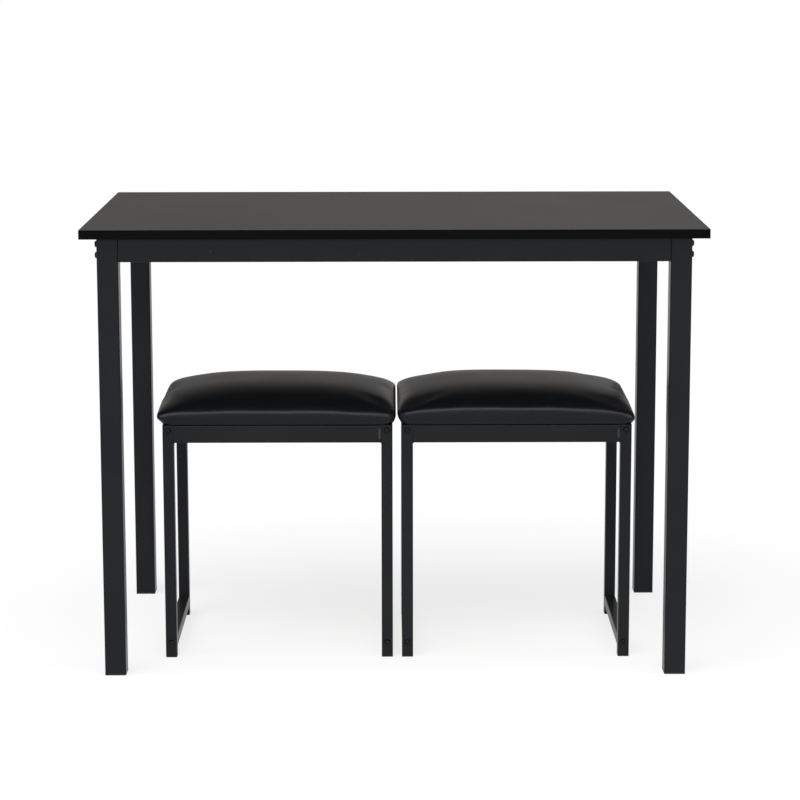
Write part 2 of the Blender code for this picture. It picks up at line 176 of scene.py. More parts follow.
# The cover as sewn is a little larger than the foam, and air pressure stands for the foam that fills it
COVER_CLOTH = {
    "quality": 6,
    "mass": 0.3,
    "tension_stiffness": 20,
    "compression_stiffness": 20,
    "shear_stiffness": 8,
    "bending_stiffness": 1.5,
    "use_pressure": True,
    "uniform_pressure_force": 4.0,
    "shrink_min": -0.004,
}
COVER_FRAMES = 20
COVER_EVENING = 12
MOST_PUFF = 0.005
MOST_SIDE_PUFF = 0.0008

# Folds at the corners of a cover, where it is pulled down and tucked under. The tuck sets in below the tip,
# and ends before the hem, with these slopes over the tip's height, and reaches this share of it.
TIP_REACH = 0.0066
TIP_INNER_REACH = 0.0010
TIP_SIZE = 0.0105
TUCK_DEPTH = 0.0028
TUCK_WIDTH = 0.0026
TUCK_ONSET = 2
TUCK_END = 3
TUCK_REACH_SHARE = 3
CREASE_DEPTH = 0.0008
CREASE_WIDTH = 0.0022
CREASE_LENGTH = 0.013
CREASE_SLANT = 0.25

# Fineness of round shapes
CORNER_STEPS = 5
HOLE_SIDES = 32
FASTENER_SIDES = 24
WIRE_SIDES = 6
RIPPLE_SIDES = 12
RIPPLE_RINGS = 6
GROUND_WELD_SIDES = 24
GROUND_WELD_RINGS = 16
DOME_STEPS = 5

# What sets by chance how fasteners are turned, how uneven the welds are and how the flaps are cut
Seeds = namedtuple("Seeds", "screws bolts welds flap pucker staples", defaults=(0, 0, 0))
SEEDS = {
    "table": Seeds(screws=3, bolts=5, welds=7),
    "left_stool": Seeds(screws=20, bolts=21, welds=22, flap=20, pucker=23, staples=31),
    "right_stool": Seeds(screws=40, bolts=41, welds=42, flap=40, pucker=43, staples=51),
}

Tube = namedtuple("Tube", "height depth wall corner")
Extents = namedtuple("Extents", "low high middle size")
Spot = namedtuple("Spot", "place aim along")
Coat = namedtuple("Coat", "material slot")

SIDES = (("left", -1), ("right", 1))
FACES = (("front", -1), ("rear", 1))

ALONG_X = Matrix.Rotation(math.pi / 2, 4, "Y")
UP = (0, 0, 1)
DOWN = (0, 0, -1)


def operator(operation, turned=False):
    """An operator for sockets. It adds the Math node for the operation to their tree."""
    def made(first, second):
        return first.nodes.math(operation, *((second, first) if turned else (first, second)))
    return made


class Socket:
    """An output of a node. A sum with it adds the Math node for that sum to the same tree."""

    def __init__(self, nodes, socket):
        self.nodes = nodes
        self.socket = socket

    __add__ = __radd__ = operator("ADD")
    __sub__ = operator("SUBTRACT")
    __rsub__ = operator("SUBTRACT", turned=True)
    __mul__ = __rmul__ = operator("MULTIPLY")
    __truediv__ = operator("DIVIDE")
    __lt__ = operator("LESS_THAN")

    def __abs__(self):
        return self.nodes.math("ABSOLUTE", self)

    def smooth(self, low, high):
        """Rises smoothly from 0 at low to 1 at high."""
        sockets = {"Value": self, "From Min": low, "From Max": high}
        return self.nodes.add("ShaderNodeMapRange", {"interpolation_type": "SMOOTHSTEP"}, sockets)

    def near(self, middle, inner, outer):
        """1 within inner of the middle, from where it falls smoothly to 0 at outer."""
        return 1 - abs(self - middle).smooth(inner, outer)

    def beside(self, output):
        """Another output of the same node."""
        return Socket(self.nodes, self.socket.node.outputs[output])


class Nodes:
    """A node tree, and the one method that adds nodes to it."""

    def __init__(self, tree):
        self.tree = tree

    def add(self, kind, settings=None, sockets=None, output=0):
        """Adds a node, sets it up, fills its sockets with values or links, and gives one of its outputs."""
        node = self.tree.nodes.new(kind)
        for name, value in (settings or {}).items():
            setattr(node, name, value)
        for key, value in (sockets or {}).items():
            if isinstance(value, Socket):
                self.tree.links.new(value.socket, node.inputs[key])
            else:
                node.inputs[key].default_value = value
        return Socket(self, node.outputs[output]) if node.outputs else node

    def math(self, operation, *values):
        return self.add("ShaderNodeMath", {"operation": operation}, dict(enumerate(values)))

    def mix(self, factor, first, second):
        """A colour between two colours. The node's sockets are given by place, because those for colours have
        the same names as those for numbers."""
        colours = [c if isinstance(c, Socket) else (*c, 1) for c in (first, second)]
        sockets = {0: factor, 6: colours[0], 7: colours[1]}
        return self.add("ShaderNodeMix", {"data_type": "RGBA", "clamp_factor": True}, sockets, output=2)

    def mix_shaders(self, factor, first, second):
        return self.add("ShaderNodeMixShader", sockets={0: factor, 1: first, 2: second})

    def grey(self, kind, level):
        """A shader or a light of this kind in an even grey."""
        return self.add(kind, sockets={"Color": (level, level, level, 1)})

    def axes(self, vector):
        """The three parts of a vector."""
        x = self.add("ShaderNodeSeparateXYZ", sockets={0: vector})
        return x, x.beside(1), x.beside(2)


class Finish(Nodes):
    """A material with one shader. What is even all over is set on the shader's own sockets."""

    def __init__(self, name, even):
        self.material = bpy.data.materials.new(name)
        self.material.use_nodes = True
        super().__init__(self.material.node_tree)
        self.shader = self.tree.nodes["Principled BSDF"]
        for socket, value in even.items():
            self.shader.inputs[socket].default_value = value
        self.place = self.add("ShaderNodeTexCoord", output="Object")

    def stretched(self, scale):
        return self.add("ShaderNodeMapping", sockets={"Vector": self.place, "Scale": scale})

    def noise(self, scale, detail=2.0, roughness=0.5, place=None):
        sockets = {"Vector": place or self.place, "Scale": scale, "Detail": detail, "Roughness": roughness}
        return self.add("ShaderNodeTexNoise", sockets=sockets)

    def cells(self, scale, feature="F1"):
        return self.add("ShaderNodeTexVoronoi", {"feature": feature}, {"Vector": self.place, "Scale": scale})

    def specks(self, per_metre, size, share):
        """Small round spots, in a share of the cells of a grid with this many cells to the metre."""
        cell = self.cells(per_metre)
        chance = self.axes(cell.beside("Color"))[0]
        return (cell < size * per_metre) * (chance < share)

    def made(self, colour, roughness, height=None, depth=0.0, strength=0.5):
        """The material, with this colour and roughness, and a relief where it is given a height."""
        links = {"Base Color": colour, "Roughness": roughness}
        if height is not None:
            relief = {"Height": height, "Distance": depth, "Strength": strength}
            links["Normal"] = self.add("ShaderNodeBump", sockets=relief)
        for socket, value in links.items():
            self.tree.links.new(value.socket, self.shader.inputs[socket])
        return self.material


def steel_coating(name, deep, pale):
    """Black powder coat: an even satin, faintly blue, with a fine orange peel and a few pale specks."""
    finish = Finish(name, {"Specular IOR Level": 0.16})
    cloud = finish.noise(7, detail=3)
    peel = finish.noise(620)
    body = finish.mix(cloud.smooth(0.35, 0.65), deep, pale)
    colour = finish.mix(finish.specks(per_metre=70, size=0.0005, share=0.10), body, (0.22, 0.22, 0.21))
    return finish.made(colour, 0.26 + 0.10 * cloud + 0.05 * peel, peel, depth=0.00006)


def table_laminate():
    """Black melamine with a fine closed texture, a little worn to a shine in patches."""
    finish = Finish("table_laminate", {"Specular IOR Level": 0.5})
    cloud = finish.noise(5, detail=3)
    grain = finish.noise(900, detail=3, roughness=0.6)
    body = finish.mix(grain, (0.0120, 0.0129, 0.0142), (0.0190, 0.0202, 0.0218))
    colour = finish.mix(finish.specks(per_metre=45, size=0.0006, share=0.05), body, (0.10, 0.10, 0.10))
    return finish.made(colour, 0.41 + 0.05 * cloud + 0.05 * grain, grain, depth=0.00005)


def edge_plastic():
    """The plastic band on the board's edge, with faint scrape lines along it. Its colour is far darker than
    the laminate's, partly its own black and partly painted shade on the front edge.
    """
    finish = Finish("edge_band", {"Specular IOR Level": 0.04})
    lines = finish.noise(1, detail=3, place=finish.stretched((6, 6, 1500)))
    # Painted shade: the band's colour is set far below the laminate's so that the front edge reads dark.
    colour = finish.mix(lines, (0.0010, 0.0010, 0.0011), (0.0020, 0.0020, 0.0022))
    return finish.made(colour, 0.38 + 0.12 * lines, lines, depth=0.00003, strength=0.4)


def black_oxide():
    """Bolt steel, blackened, with its colour a little uneven."""
    finish = Finish("bolt_black", {"Specular IOR Level": 0.22})
    tone = finish.noise(400, detail=3)
    colour = finish.mix(tone, (0.0012, 0.0012, 0.0013), (0.0036, 0.0036, 0.0038))
    return finish.made(colour, 0.22 + 0.16 * tone)


def zinc():
    """Bright zinc plate on screws and staples, slightly milky."""
    finish = Finish("zinc", {"Metallic": 1.0})
    tone = finish.noise(500, detail=3)
    colour = finish.mix(tone, (0.42, 0.43, 0.45), (0.62, 0.63, 0.64))
    return finish.made(colour, 0.28 + 0.2 * tone)


def cap_plastic():
    """Matt black moulded polyethylene, scuffed grey in fine lines."""
    finish = Finish("foot_plastic", {"Specular IOR Level": 0.35})
    tone = finish.noise(260, detail=4, roughness=0.6)
    scuff = finish.noise(1, detail=4, place=finish.stretched((90, 90, 900))).smooth(0.62, 0.78)
    colour = finish.mix(0.5 * scuff, (0.008, 0.008, 0.008), (0.05, 0.05, 0.05))
    return finish.made(colour, 0.5 + 0.14 * tone, tone, depth=0.00005)


def birch_plywood(bottom, thickness):
    """Raw birch plywood: long grain on the faces, and thin light and dark plies on the edges."""
    plies = 7
    finish = Finish("seat_plywood", {"Specular IOR Level": 0.3})
    height = finish.axes(finish.place)[2]
    ply = finish.math("PINGPONG", (height - bottom) * (plies / thickness), 1).smooth(0.35, 0.65)
    grain = finish.noise(1, detail=5, roughness=0.6, place=finish.stretched((7, 130, 130)))
    figure = finish.noise(1, place=finish.stretched((3, 22, 22)))
    light = finish.mix(grain.smooth(0.3, 0.75), (0.50, 0.36, 0.22), (0.36, 0.235, 0.125))
    face = finish.mix(0.45 * figure, light, (0.30, 0.18, 0.09))
    colour = finish.mix(0.35 * ply, face, (0.22, 0.13, 0.065))
    return finish.made(colour, 0.62 + 0.15 * grain, grain, depth=0.00012, strength=0.6)


def faux_leather():
    """Black vinyl on cloth: a fine pebbled grain, soft shallow creases, and a low even sheen."""
    finish = Finish("cushion_cover", {"Specular IOR Level": 0.20})
    pebbles = finish.cells(820, "SMOOTH_F1")
    fine = finish.noise(2100)
    crease = finish.noise(55, detail=4, roughness=0.62)
    cloud = finish.noise(11)
    height = 0.75 * pebbles + 0.2 * fine + 0.9 * crease
    body = finish.mix(cloud, (0.0050, 0.0057, 0.0076), (0.0074, 0.0079, 0.0100))
    colour = finish.mix(pebbles.smooth(0.3, 0.8) * 0.6, body, (0.0025, 0.0025, 0.0028))
    return finish.made(colour, 0.30 + 0.08 * cloud + 0.06 * pebbles, height, depth=0.00016)


def quarter_turn(steps):
    """The cosine and sine of even steps over a quarter turn."""
    angles = [step / steps * math.pi / 2 for step in range(steps + 1)]
    return [(math.cos(angle), math.sin(angle)) for angle in angles]


def rounded_rectangle(width, depth, radius, steps=CORNER_STEPS, longest=None):
    """Points round a rectangle about the origin, anticlockwise, with round corners.

    longest is the most that the points on a straight side may lie apart, where it is given.
    """
    points = []
    for turn in range(4):
        along, across = (width, depth) if turn % 2 == 0 else (depth, width)
        centre = Vector((along / 2 - radius, across / 2 - radius))
        quarter = [centre + radius * Vector(point) for point in quarter_turn(steps)]
        start, end = quarter[-1], Vector((-centre.x, across / 2))
        count = math.ceil((end - start).length / longest) if longest else 1
        for step in range(1, count):
            quarter.append(start.lerp(end, step / count))
        rotation = Matrix.Rotation(turn * math.pi / 2, 2)
        points += [rotation @ point for point in quarter]
    return points


def circle(radius, sides=FASTENER_SIDES):
    turns = [i / sides * 2 * math.pi for i in range(sides)]
    return [Vector((radius * math.cos(turn), radius * math.sin(turn))) for turn in turns]


def hexagon(across):
    """A hexagon of this width across its flats, with as many points as a fastener's round rings."""
    points = []
    for point in circle(1):
        turn = math.atan2(point.y, point.x) % (math.pi / 3) - math.pi / 6
        points.append(point * across / 2 / math.cos(turn))
    return points


def cross(across, slimness):
    """The outline of a cross recess, with as many points as a fastener's round rings."""
    points = []
    for point in circle(across / 2):
        lobe = math.cos(2 * math.atan2(point.y, point.x)) ** 2
        points.append(point * (slimness + (1 - slimness) * lobe))
    return points


def at_height(outline, height):
    return [Vector((point.x, point.y, height)) for point in outline]


def turned(profile):
    """Round rings of a fastener, one for each radius and height."""
    return [at_height(circle(radius), height) for radius, height in profile]


def drawn_in(width, depth, corner, profile, corner_kept=False):
    """Rings round a rectangle, each drawn in by an amount, at a height. Corners tighten unless kept."""
    rings = []
    for taken, height in profile:
        radius = corner if corner_kept else corner - taken
        rings.append(at_height(rounded_rectangle(width - 2 * taken, depth - 2 * taken, radius), height))
    return rings


def arrised(low, high, arris):
    """A board's profile for drawn_in, with its sharp edges taken off."""
    return (arris, low), (0, low + arris), (0, high - arris), (arris, high)


def loft(rings, closed=False):
    """A bmesh skinned over rings of as many points each, with flat ends, or joined into a loop if closed."""
    mesh = bmesh.new()
    made = [[mesh.verts.new(point) for point in ring] for ring in rings]
    pairs = list(zip(made, made[1:]))
    if closed:
        pairs.append((made[-1], made[0]))
    else:
        mesh.faces.new(list(reversed(made[0])))
        mesh.faces.new(made[-1])
    for lower, upper in pairs:
        for i in range(len(lower)):
            mesh.faces.new((lower[i - 1], lower[i], upper[i], upper[i - 1]))
    return mesh


def prism(outline, low, high):
    return loft([at_height(outline, low), at_height(outline, high)])


def moved(mesh, place=(0, 0, 0), rotation=None):
    """The same bmesh, turned and then moved."""
    if rotation is not None:
        bmesh.ops.transform(mesh, matrix=rotation, verts=mesh.verts)
    bmesh.ops.translate(mesh, vec=place, verts=mesh.verts)
    return mesh


def facing_out(mesh):
    """The same closed bmesh, with its faces turned outwards."""
    bmesh.ops.recalc_face_normals(mesh, faces=mesh.faces)
    return mesh


def together(meshes):
    """One bmesh that holds several separate closed shells."""
    whole = bmesh.new()
    for mesh in meshes:
        shell = bpy.data.meshes.new("shell")
        mesh.to_mesh(shell)
        mesh.free()
        whole.from_mesh(shell)
        bpy.data.meshes.remove(shell)
    return whole


def new_object(name, data):
    obj = bpy.data.objects.new(name, data)
    bpy.context.scene.collection.objects.link(obj)
    return obj


def from_bmesh(name, mesh):
    data = bpy.data.meshes.new(name)
    mesh.to_mesh(data)
    mesh.free()
    return new_object(name, data)


def from_points(name, points, edges=(), faces=()):
    data = bpy.data.meshes.new(name)
    data.from_pydata([tuple(point) for point in points], edges, faces)
    return new_object(name, data)


def plain(obj, name):
    """A new object of this name with the mesh that the other's modifiers give, which is then removed."""
    graph = bpy.context.evaluated_depsgraph_get()
    data = bpy.data.meshes.new_from_object(obj.evaluated_get(graph))
    bpy.data.objects.remove(obj)
    data.name = name
    return new_object(name, data)


def drilled(mesh, cutters):
    """The bmesh with these cutters taken out."""
    if not cutters:
        return mesh
    body = from_bmesh("body", mesh)
    tool = from_bmesh("tool", together(cutters))
    cut = body.modifiers.new("cut", "BOOLEAN")
    cut.operation = "DIFFERENCE"
    cut.solver = "EXACT"
    cut.object = tool
    result = plain(body, "drilled")
    bpy.data.objects.remove(tool)
    made = bmesh.new()
    made.from_mesh(result.data)
    bpy.data.objects.remove(result)
    return made


def extents(node):
    low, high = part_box(node)
    return Extents(low, high, (low + high) / 2, high - low)


class GeometryTree(Nodes):
    """A tree for a Geometry Nodes modifier, with named inputs. It ends in real geometry with a finish."""

    def __init__(self, name, inputs):
        tree = bpy.data.node_groups.new(name, "GeometryNodeTree")
        super().__init__(tree)
        tree.interface.new_socket("Geometry", in_out="INPUT", socket_type="NodeSocketGeometry")
        tree.interface.new_socket("Geometry", in_out="OUTPUT", socket_type="NodeSocketGeometry")
        for label, kind in {**inputs, "Finish": "Material"}.items():
            tree.interface.new_socket(label, in_out="INPUT", socket_type=f"NodeSocket{kind}")
        self.inlet = tree.nodes.new("NodeGroupInput")

    def given(self, label):
        return Socket(self, self.inlet.outputs[label])

    def attribute(self, label):
        return self.add("GeometryNodeInputNamedAttribute", {"data_type": "FLOAT_VECTOR"}, {"Name": label})

    def chance(self, low, high):
        """A random number. Its node's sockets are given by place too."""
        sockets = {2: low, 3: high, "Seed": self.given("Seed")}
        return self.add("FunctionNodeRandomValue", {"data_type": "FLOAT"}, sockets, output=1)

    def on_points(self, points, instance, rotation, scale=(1, 1, 1)):
        """Ends the tree with this instance on every point, made real and given the finish."""
        sockets = {"Points": points, "Instance": instance, "Rotation": rotation, "Scale": scale}
        instances = self.add("GeometryNodeInstanceOnPoints", sockets=sockets)
        real = self.add("GeometryNodeRealizeInstances", sockets={"Geometry": instances})
        sockets = {"Geometry": real, "Material": self.given("Finish")}
        coated = self.add("GeometryNodeSetMaterial", sockets=sockets)
        self.add("NodeGroupOutput", sockets={"Geometry": coated})
        return self

    def grow(self, name, base, values):
        """The plain mesh, under this name, that the tree makes of the base object, which is used up."""
        modifier = base.modifiers.new("pattern", "NODES")
        modifier.node_group = self.tree
        for item in self.tree.interface.items_tree:
            if item.name in values:
                modifier[item.identifier] = values[item.name]
        return plain(base, name)


def fasteners_tree():
    """Sets a fastener on each point, with its head towards the point's aim, turned by chance about it."""
    tree = GeometryTree("fasteners", {"Fastener": "Object", "Most turn": "Float", "Seed": "Int"})
    most = tree.given("Most turn")
    axes = {"Primary Axis": tree.attribute("aim"), "Secondary Axis": tree.attribute("along")}
    upright = tree.add("FunctionNodeAxesToRotation", {"primary_axis": "Z", "secondary_axis": "X"}, axes)
    angle = tree.chance(0 - most, most)
    turn = tree.add("FunctionNodeAxisAngleToRotation", sockets={"Axis": UP, "Angle": angle})
    spun = tree.add("FunctionNodeRotateRotation", {"rotation_space": "LOCAL"}, {0: upright, 1: turn})
    shape = tree.add("GeometryNodeObjectInfo", sockets={"Object": tree.given("Fastener")}, output="Geometry")
    return tree.on_points(tree.given("Geometry"), shape, spun)


def weld_tree():
    """Lays a bead along each line: flat ripples of weld metal, one over the next, a little uneven."""
    labels = ("Bead width", "Ripple pitch", "Ripple flatness", "Unevenness")
    tree = GeometryTree("weld_bead", {**{label: "Float" for label in labels}, "Seed": "Int"})
    line = tree.add("GeometryNodeMeshToCurve", sockets={"Mesh": tree.given("Geometry")})
    sockets = {"Curve": line, "Length": tree.given("Ripple pitch")}
    points = tree.add("GeometryNodeCurveToPoints", {"mode": "LENGTH"}, sockets)
    sockets = {"Segments": RIPPLE_SIDES, "Rings": RIPPLE_RINGS, "Radius": tree.given("Bead width") / 2}
    ripple = tree.add("GeometryNodeMeshUVSphere", sockets=sockets)
    uneven = tree.given("Unevenness")
    size = tree.chance(1 - uneven, 1 + uneven)
    flat = size * tree.given("Ripple flatness")
    scale = tree.add("ShaderNodeCombineXYZ", sockets={"X": size, "Y": size, "Z": flat})
    return tree.on_points(points, ripple, points.beside("Rotation"), scale)


def lines_object(lines):
    """An object whose mesh is these open lines."""
    points, edges = [], []
    for line in lines:
        edges += [(len(points) + i, len(points) + i + 1) for i in range(len(line) - 1)]
        points += line
    return from_points("lines", points, edges)


def points_object(spots):
    """An object whose mesh is loose points. Each spot is a place, an aim and a direction across the aim."""
    obj = from_points("points", [spot.place for spot in spots])
    for label in ("aim", "along"):
        values = [component for spot in spots for component in getattr(spot, label)]
        obj.data.attributes.new(label, "FLOAT_VECTOR", "POINT").data.foreach_set("vector", values)
    return obj


class Body:
    """A body of the frame, and how a piece that rides on it is finished, fastened or welded."""

    def __init__(self, name, finishes, trees):
        self.name = name
        self.finishes = finishes
        self.trees = trees
        self.seeds = SEEDS[name]

    def finish(self, obj, finish, nodes=(), sharp_degrees=40):
        """Gives a piece its finish and smooth shading. The frame is told what it rides on and stands for."""
        coat = self.finishes[finish]
        obj.data.materials.clear()
        obj.data.materials.append(coat.material)
        obj.data.shade_smooth()
        if sharp_degrees:
            obj.data.set_sharp_from_angle(angle=math.radians(sharp_degrees))
            even = obj.modifiers.new("even_faces", "WEIGHTED_NORMAL")
            even.keep_sharp = True
            obj = plain(obj, obj.name)
        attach(obj, self.name)
        if nodes:
            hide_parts(*nodes)
        return obj

    def add(self, name, mesh, finish, nodes=(), sharp_degrees=40):
        """A finished piece with the shape of a bmesh."""
        return self.finish(from_bmesh(name, mesh), finish, nodes, sharp_degrees)

    def fasten(self, name, pattern, spots, seed, finish, nodes=(), most_turn=math.pi, sharp_degrees=35):
        """One piece of a fastener on every spot. The fastener's pattern is used up."""
        material = self.finishes[finish].material
        values = {"Fastener": pattern, "Most turn": most_turn, "Seed": seed, "Finish": material}
        piece = self.trees["fasteners"].grow(name, points_object(spots), values)
        bpy.data.objects.remove(pattern)
        self.finish(piece, finish, nodes, sharp_degrees)

    def weld(self, frames, width):
        """One piece of the beads along all the weld lines of these frames."""
        values = {
            "Bead width": width,
            "Ripple pitch": width * RIPPLE_PITCH_SHARE,
            "Ripple flatness": RIPPLE_FLATNESS,
            "Unevenness": RIPPLE_UNEVENNESS,
            "Seed": self.seeds.welds,
            "Finish": self.finishes["steel"].material,
        }
        lines = [line for made in frames for line in made.weld_lines()]
        piece = self.trees["weld"].grow(f"{self.name}_welds", lines_object(lines), values)
        self.finish(piece, "steel", sharp_degrees=0)


def tube_mesh(tube, low, high):
    """A square tube along Z, open at both ends."""
    outside = rounded_rectangle(tube.height, tube.depth, tube.corner)
    taken = 2 * tube.wall
    inside = rounded_rectangle(tube.height - taken, tube.depth - taken, tube.corner - tube.wall)
    ends = ((outside, low), (outside, high), (inside, high), (inside, low))
    return loft([at_height(outline, height) for outline, height in ends], closed=True)


def wall_drills(rail, places, holes):
    """Cutters through a rail's bottom wall and its top wall at these places along X."""
    drills = []
    inside = rail.height / 2 - rail.wall - CUT_OVERRUN
    outside = rail.height / 2 + CUT_OVERRUN
    for x in places:
        for diameter, low, high in ((holes.under, -outside, -inside), (holes.top, inside, outside)):
            if diameter:
                drills.append(moved(prism(circle(diameter / 2, HOLE_SIDES), low, high), (x, 0, 0)))
    return drills


class WeldedFrame:
    """Two legs and the rail welded between them, from a node whose outer face looks towards aim. Locally the
    frame lies along X, and its outer face looks towards -Y."""

    def __init__(self, node, aim, rail, stock):
        low, high, middle, size = extents(node)
        side, self.span = sorted((size.x, size.y))
        self.leg = Tube(side, side, stock.wall, stock.corner)
        self.rail = rail
        self.low, self.high = low.z, high.z
        self.between = self.span / 2 - side
        self.rail_y = (rail.depth - side) / 2 + stock.recess
        self.rail_z = high.z - stock.recess - rail.height / 2
        turn = Matrix.Rotation(math.atan2(aim[0], -aim[1]), 4, "Z")
        self.place = Matrix.Translation((middle.x, middle.y, 0)) @ turn

    def mesh(self, holes):
        leg_x = (self.span - self.leg.height) / 2
        legs = [moved(tube_mesh(self.leg, self.low, self.high), (x, 0, 0)) for x in (-leg_x, leg_x)]
        reach = self.between + WELD_OVERLAP
        bar = moved(tube_mesh(self.rail, -reach, reach), rotation=ALONG_X)
        bar = drilled(bar, wall_drills(self.rail, (0,), holes))
        return moved(together([*legs, moved(bar, (0, self.rail_y, self.rail_z))]), rotation=self.place)

    def weld_lines(self):
        """The line of each weld, under the rail and up its inner face, where it meets a leg."""
        front = self.rail_y - self.rail.depth / 2 + BEAD_FROM_FACE
        back = self.rail_y + self.rail.depth / 2
        bottom = self.rail_z - self.rail.height / 2
        top = self.rail_z + self.rail.height / 2 - BEAD_FROM_FACE
        for x in (-self.between, self.between):
            yield [self.place @ Vector((x, y, z)) for y, z in ((front, bottom), (back, bottom), (back, top))]


def button_head_bolt(length):
    """A bolt along Z that seats at the origin, its domed head with a hexagon socket above."""
    shank, head = BOLT_SHANK / 2, BOLT_HEAD / 2
    flat = BOLT_SOCKET / 2 / math.cos(math.pi / 6) + 2 * BOLT_SOCKET_CHAMFER
    top = TOUCH_GAP + BOLT_HEAD_HEIGHT
    rim = TOUCH_GAP + BOLT_RIM
    profile = [(shank - BOLT_RIM, -length), (shank, BOLT_RIM - length), (shank, TOUCH_GAP), (head, TOUCH_GAP)]
    for cosine, sine in quarter_turn(DOME_STEPS):
        profile.append((flat + (head - flat) * cosine, rim + (top - rim) * sine))
    rings = turned(profile)
    rings.append(at_height(hexagon(BOLT_SOCKET + 2 * BOLT_SOCKET_CHAMFER), top))
    for depth in (BOLT_SOCKET_CHAMFER, BOLT_SOCKET_DEPTH):
        rings.append(at_height(hexagon(BOLT_SOCKET), top - depth))
    return from_bmesh("bolt_pattern", loft(rings))


def pan_head_screw(length):
    """A screw along Z that seats at the origin, its domed head with a cross recess above."""
    shank, head, recess = SCREW_SHANK / 2, SCREW_HEAD / 2, SCREW_RECESS / 2
    profile = [(shank / 3, -length), (shank, 2 * shank - length), (shank, 0), (head, 0)]
    for cosine, sine in quarter_turn(DOME_STEPS)[1:]:
        profile.append((recess + (head - recess) * cosine ** SCREW_HEAD_POWER, SCREW_HEAD_HEIGHT * sine))
    rings = turned(profile)
    upper, lower = SCREW_RECESS_SLIMNESS
    rings.append(at_height(cross(SCREW_RECESS, upper), SCREW_HEAD_HEIGHT))
    rings.append(at_height(cross(recess, lower), SCREW_HEAD_HEIGHT - SCREW_RECESS_DEPTH))
    return from_bmesh("screw_pattern", loft(rings))


def wire_staple():
    """A staple whose crown lies along X on the plane through the origin, with its legs down below it."""
    half, wire = STAPLE_CROWN / 2, STAPLE_WIRE
    right = [(half - wire, wire), (half, 0), (half, -STAPLE_LEG)]
    path = [(-x, z) for x, z in reversed(right)] + right
    rings = []
    for i, (x, z) in enumerate(path):
        before, after = Vector(path[max(i - 1, 0)]), Vector(path[min(i + 1, len(path) - 1)])
        direction = (after - before).normalized()
        across = Vector((-direction.y, direction.x))
        ring = []
        for point in circle(wire, WIRE_SIDES):
            offset = across * point.x
            ring.append(Vector((x + offset.x, point.y, z + offset.y)))
        rings.append(ring)
    return from_bmesh("staple_pattern", facing_out(loft(rings)))


def make_top(table):
    """The faced board, and the band round its edge with its arrises eased."""
    low, high, middle, size = extents("table_top")
    place = (middle.x, middle.y, 0)
    inset = 2 * (BAND_THICKNESS + BAND_SEAM)
    profile = arrised(low.z + BAND_PROUD, high.z - BAND_PROUD, BOARD_ARRIS)
    rings = drawn_in(size.x - inset, size.y - inset, BAND_CORNER - BAND_THICKNESS, profile, corner_kept=True)
    table.add("table_top_board", moved(loft(rings), place), "laminate", ["table_top"])

    arc = []
    for cosine, sine in quarter_turn(CORNER_STEPS):
        arc.append((BAND_ARRIS * (1 - cosine), high.z - BAND_ARRIS * (1 - sine)))
    profile = [(taken, low.z + high.z - z) for taken, z in reversed(arc)] + arc
    profile += [(BAND_THICKNESS, high.z), (BAND_THICKNESS, low.z)]
    rings = drawn_in(size.x, size.y, BAND_CORNER, profile)
    table.add("table_top_edge_band", moved(loft(rings, closed=True), place), "edge")


def make_rail(body, node, stock, holes):
    """A bolted rail: a drilled tube with a plate welded in each end. Gives the places of its screws."""
    _, _, middle, size = extents(node)
    length, depth = max(size.x, size.y), min(size.x, size.y)
    rail = Tube(size.z, depth, stock.wall, stock.corner)
    rotation = Matrix.Rotation(math.pi / 2 if size.y > size.x else 0, 4, "Z")
    places = [(2 * i / (holes.count - 1) - 1) * (length / 2 - holes.from_end) for i in range(holes.count)]
    bar = moved(tube_mesh(rail, -length / 2, length / 2), rotation=ALONG_X)
    shells = [drilled(bar, wall_drills(rail, places, holes))]
    taken = 2 * (rail.wall + END_PLATE_INSET)
    outline = rounded_rectangle(rail.height - taken, rail.depth - taken, rail.wall)
    for x in (-length / 2 + END_PLATE_INSET, length / 2 - END_PLATE_INSET - END_PLATE):
        shells.append(moved(prism(outline, x, x + END_PLATE), rotation=ALONG_X))
    body.add(f"{node}_tube", moved(together(shells), middle, rotation), "steel", [node])
    return [middle + rotation @ Vector((x, 0, 0)) for x in places]


def make_cap(body, node, leg, stock):
    """A square cap: a flange with an eased edge, and a plug with ribs that grip the tube."""
    low, high, middle, _ = extents(node)
    inside = leg - 2 * stock.wall - 2 * TOUCH_GAP
    core = inside - 2 * CAP_RIB_DEPTH
    edge = CAP_EDGE_ROUND
    profile = []
    for cosine, sine in quarter_turn(CORNER_STEPS):
        profile.append((leg - 2 * edge * (1 - sine), low.z + edge * (1 - cosine)))
    profile.append((leg, low.z + stock.flange))
    pitch = (high.z - low.z - stock.flange) / (CAP_RIBS + 2 * CAP_FIRST_RIB_SHARE)
    for i in range(CAP_RIBS):
        start = low.z + stock.flange + (i + CAP_FIRST_RIB_SHARE) * pitch
        for side, share in zip((core, inside, inside, core), (0, *CAP_RIB_SHARES)):
            profile.append((side, start + share * pitch))
    profile.append((core, high.z))
    rings = [at_height(rounded_rectangle(side, side, stock.wall), z) for side, z in profile]
    cap = moved(loft(rings), (middle.x, middle.y, 0))
    body.add(f"{node}_moulding", cap, "cap", [node], sharp_degrees=30)


def make_frames(body, ends, rail, stock, holes):
    """A body's welded frames and their foot caps. Each end is a frame's node, the way that its outer face
    looks and the names of its two corners. Gives the frames, and the node and spot of each bolt."""
    frames, bolts = [], []
    for node, aim, corners in ends:
        made = WeldedFrame(node, aim, rail, stock)
        frames.append(made)
        body.add(f"{node}_tubes", made.mesh(holes), "steel", [node])
        box = extents(node)
        axis = 0 if aim[0] else 1
        face = box.high if aim[axis] > 0 else box.low
        for corner in corners:
            make_cap(body, f"{body.name}_foot_cap_{corner}", made.leg.height, stock)
            for level in ("lower", "upper"):
                bolt = f"{body.name}_bolt_{corner}_{level}"
                place = extents(bolt).middle
                place[axis] = face[axis]
                bolts.append((bolt, Spot(place, aim, UP)))
    return frames, bolts


